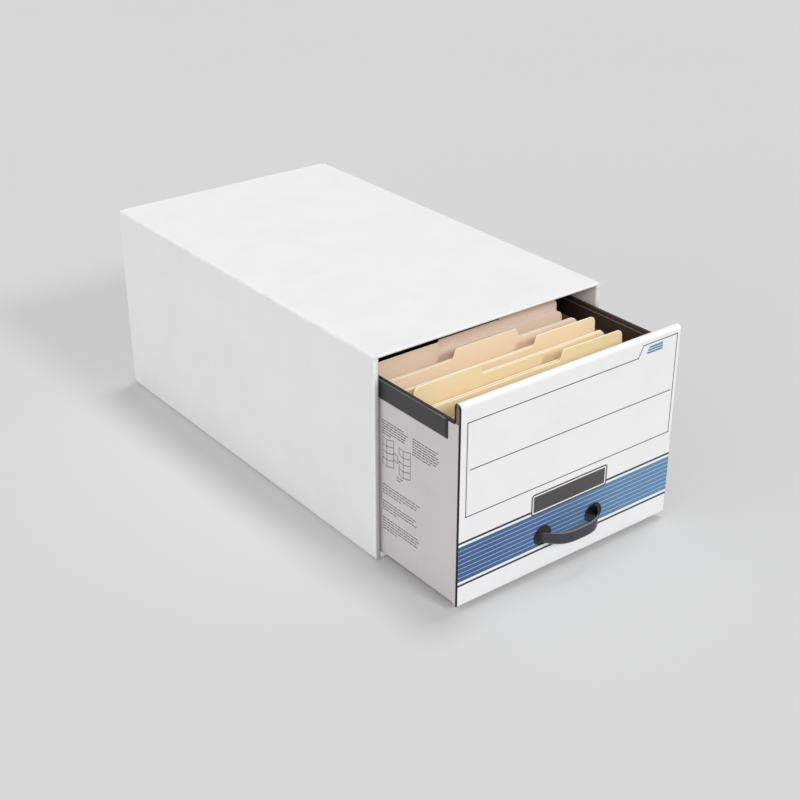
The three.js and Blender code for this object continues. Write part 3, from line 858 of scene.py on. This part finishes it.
def make_plate(ink, keyline_ink):
    """The plate above the pull: a border ring, a pale keyline ring and a plain field, all round-cornered.

    Each ring is the rounded oblong at two sizes, at the board and at the ink's top, joined into a tube. The
    plate is printed over the band, so its ink stands a little higher.
    """
    sizes = (0, PLATE_BORDER, PLATE_BORDER + PLATE_KEYLINE)

    def loop(inset, depth):
        flat = rounded_oblong(PLATE_WIDTH - 2 * inset, PLATE_TALL - 2 * inset, PLATE_CORNER - inset)
        return np.column_stack([flat + (0, PLATE_HEIGHT), np.full(len(flat), depth)])

    def ring(outer, inner):
        points = np.array([loop(outer, 0), loop(outer, OVERPRINT), loop(inner, OVERPRINT), loop(inner, 0)])
        return points.reshape(-1, 3), grid_faces(4, points.shape[1], True, True).tolist()

    border, border_faces = ring(sizes[0], sizes[1])
    keyline, keyline_faces = ring(sizes[1], sizes[2])
    field = np.array([loop(sizes[2], 0), loop(sizes[2], OVERPRINT)])
    count = field.shape[1]
    field_faces = grid_faces(2, count, round_columns=True).tolist()
    field_faces += [list(range(count)), list(range(count, 2 * count))]
    shift = len(border)
    both = np.concatenate([border, field.reshape(-1, 3)])
    both_faces = border_faces + [[i + shift for i in face] for face in field_faces]
    print_piece("front_plate", on_front(both), both_faces, ink)
    print_piece("front_plate_keyline", on_front(keyline), keyline_faces, keyline_ink)


def make_corner_mark(ink):
    """Level bars in the stepped corner of the label field, each starting further in than the one below."""
    heights = CORNER_MARK_LOW + CORNER_MARK_PITCH * np.arange(CORNER_MARK_BARS)
    starts = [(CORNER_MARK_FROM + CORNER_MARK_SLOPE * (z - CORNER_MARK_LOW), z) for z in heights]
    ends = [(CORNER_MARK_TO, z) for z in heights]
    points, faces = strokes(starts, ends, CORNER_MARK_PITCH * CORNER_MARK_SHARE)
    print_piece("front_corner_mark", on_front(points), faces, ink)


# Side print: rows of short dashes, and two drawings of stacked drawers in outline

# Each paragraph's distance back from the front, its top row's height, its rows, and how long a full row is
PARAGRAPHS = (
    {"back": 152, "top": 205, "rows": 6, "pitch": 3.6, "long": 54},
    {"back": 91, "top": 204, "rows": 7, "pitch": 3.6, "long": 56},
    {"back": 151, "top": 114, "rows": 4, "pitch": 4.0, "long": 78},
    {"back": 151, "top": 90, "rows": 4, "pitch": 4.0, "long": 76},
    {"back": 151, "top": 65, "rows": 5, "pitch": 4.0, "long": 77},
    {"back": 122, "top": 136, "rows": 2, "pitch": 4.0, "long": 20},
)
DASH_TALL = 1.3
DASH_GAP = 1.3
DASH_LENGTHS = (3.0, 9.0)
DASHES = 40
FULL_ROW = (0.9, 1.0)
LAST_ROW = (0.35, 0.7)

# Each stack's distance back from the front, its foot's height and which level, from 0 up, is pulled out
STACKS = ((150, 142, None), (117, 140, 2))
STACK_LEVELS = 4
STACK_LINE = 0.9
STACK_FRONT = 8.0
STACK_WIDTH = 22.0
STACK_TALL = 9.5
STACK_FRONT_RISE = 2.0
STACK_SIDE_RISE = 4.0
STACK_PULL = 11.0


def paragraph_strokes(draw, back, top, rows, pitch, long):
    """Each row is cut into dashes of uneven length with small gaps, and the last row stops short."""
    starts = []
    ends = []
    for row in range(rows):
        reach = long * draw.uniform(*(LAST_ROW if row == rows - 1 else FULL_ROW))
        dashes = draw.uniform(*DASH_LENGTHS, DASHES)
        begin = np.concatenate([[0], np.cumsum(dashes + DASH_GAP)[:-1]])
        kept = begin + dashes < reach
        height = top - pitch * row
        starts += [(back - b, height) for b in begin[kept]]
        ends += [(back - b - d, height) for b, d in zip(begin[kept], dashes[kept])]
    return starts, ends


def stack_strokes(back, low, pulled):
    """A stack of drawers seen from a corner: each level is a front and a side, both slanted outlines.

    The pulled level's front stands out towards the drawer's front, and lower by a quarter of that way.
    """
    starts = []
    ends = []
    corner = back - STACK_FRONT
    for level in range(STACK_LEVELS):
        foot = low + level * STACK_TALL
        out = STACK_PULL if level == pulled else 0.0
        for far, rise, pull in ((back, STACK_FRONT_RISE, out), (back - STACK_WIDTH, STACK_SIDE_RISE, 0.0)):
            outline = [
                (far, foot + rise),
                (corner, foot),
                (corner, foot + STACK_TALL),
                (far, foot + rise + STACK_TALL),
            ]
            begin, end = outline_strokes(np.array(outline) + (pull, -pull / 4), STACK_LINE)
            starts += begin.tolist()
            ends += end.tolist()
    return starts, ends


def make_side_print(ink):
    """The left wall's print, in strokes laid on the wall."""
    draw = np.random.default_rng(7)
    starts = []
    ends = []
    widths = []
    for paragraph in PARAGRAPHS:
        begin, end = paragraph_strokes(draw, **paragraph)
        starts += begin
        ends += end
        widths += [DASH_TALL] * len(begin)
    for stack in STACKS:
        begin, end = stack_strokes(*stack)
        starts += begin
        ends += end
        widths += [STACK_LINE] * len(begin)
    points, faces = strokes(starts, ends, widths)
    print_piece("left_wall_print", on_left_wall(points), faces, ink)


def build_print():
    """The inks, and all that is printed with them. Each ink's two colours are its left and its right end."""
    grey = ink_finish("grey_ink", colour(82, 83, 92), colour(94, 98, 104))
    slate = ink_finish("slate_ink", colour(38, 56, 72), colour(52, 78, 90))
    blue = ink_finish("blue_ink", colour(64, 90, 138), colour(96, 136, 172))
    pale_blue = ink_finish("pale_blue_ink", colour(160, 184, 222), colour(170, 200, 226))
    plate = ink_finish("plate_ink", colour(76, 73, 74), colour(82, 80, 81))
    keyline = ink_finish("keyline_white", colour(238, 238, 238), colour(240, 240, 240))
    side_ink = ink_finish("side_ink", colour(88, 86, 90), colour(88, 86, 90))
    make_label_rules(grey)
    make_band(blue, pale_blue, slate)
    make_plate(plate, keyline)
    make_corner_mark(blue)
    make_side_print(side_ink)


# Setting

FLOOR_HALF = 40000.0
AMBIENT = 0.40
BACKDROP = colour(217, 217, 217)

# Each lamp's way from the object, its strength and its softness in degrees
LAMPS = {
    "key": ((0.15, -0.82, 0.55), 0.27, 10),
    "second_key": ((-0.45, -0.70, 0.55), 0.23, 20),
    "side_fill": ((-0.85, -0.20, 0.48), 0.22, 60),
    "top_fill": ((0.22, 0.05, 0.97), 0.27, 14),
}


def make_floor():
    """A wide flat floor, square about the object."""
    points = FLOOR_HALF * np.array([(-1, -1, 0), (1, -1, 0), (1, 1, 0), (-1, 1, 0)])
    mesh = bpy.data.meshes.new("floor")
    mesh.from_pydata((points * MM).tolist(), [], [(0, 1, 2, 3)])
    mesh.materials.append(floor_finish())
    floor = bpy.data.objects.new("floor", mesh)
    bpy.context.scene.collection.objects.link(floor)


def make_sun(name, towards, strength, softness):
    """A lamp at a great distance. Towards is the way from the object to the lamp."""
    lamp = bpy.data.lights.new(name, "SUN")
    lamp.energy = strength * math.pi
    lamp.angle = math.radians(softness)
    sun = bpy.data.objects.new(name, lamp)
    sun.rotation_mode = "QUATERNION"
    sun.rotation_quaternion = Vector(towards).to_track_quat("Z", "Y")
    bpy.context.scene.collection.objects.link(sun)


def make_world():
    """Even light from all round, and the backdrop's grey where the camera looks past the floor."""
    world = bpy.data.worlds.new("studio")
    bpy.context.scene.world = world
    world.use_nodes = True
    tree = world.node_tree
    light = tree.nodes["Background"]
    light.inputs["Color"].default_value = (1, 1, 1, 1)
    light.inputs["Strength"].default_value = AMBIENT
    backdrop = tree.nodes.new("ShaderNodeBackground")
    backdrop.inputs["Color"].default_value = BACKDROP
    backdrop.inputs["Strength"].default_value = 1.0
    ray = tree.nodes.new("ShaderNodeLightPath")
    mix = tree.nodes.new("ShaderNodeMixShader")
    tree.links.new(ray.outputs["Is Camera Ray"], mix.inputs[0])
    tree.links.new(light.outputs[0], mix.inputs[1])
    tree.links.new(backdrop.outputs[0], mix.inputs[2])
    tree.links.new(mix.outputs[0], tree.nodes["World Output"].inputs["Surface"])


def make_camera():
    """A camera turned about the object by its azimuth and raised by its elevation, looking at its target."""
    turn = math.radians(CAMERA_AZIMUTH)
    tilt = math.radians(CAMERA_ELEVATION)
    back = Vector((math.sin(turn) * math.cos(tilt), -math.cos(turn) * math.cos(tilt), math.sin(tilt)))
    data = bpy.data.cameras.new("camera")
    data.lens = CAMERA_LENS
    data.sensor_width = 36
    data.clip_end = 200
    camera = bpy.data.objects.new("camera", data)
    camera.location = Vector(CAMERA_TARGET) * MM + back * CAMERA_DISTANCE * MM
    camera.rotation_mode = "QUATERNION"
    camera.rotation_quaternion = back.to_track_quat("Z", "Y")
    bpy.context.scene.collection.objects.link(camera)
    bpy.context.scene.camera = camera


def dress(node, material):
    """Gives a CAD node its finish."""
    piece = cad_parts[node]
    piece.data.materials.clear()
    piece.data.materials.append(material)


make_camera()
make_world()
for name, lamp in LAMPS.items():
    make_sun(name, *lamp)
make_floor()

dress("sleeve", sleeve_finish())
dress("drawer_body", drawer_finish())
steel = rail_finish()
for rail in ("left_rail", "right_rail"):
    dress(rail, steel)

make_pull(pull_finish())
for index, place in enumerate(FOLDERS):
    make_folder(index + 1, place, manila_finish(index + 1, index / (len(FOLDERS) - 1)))
build_print()

bpy.context.scene.view_settings.view_transform = "Standard"
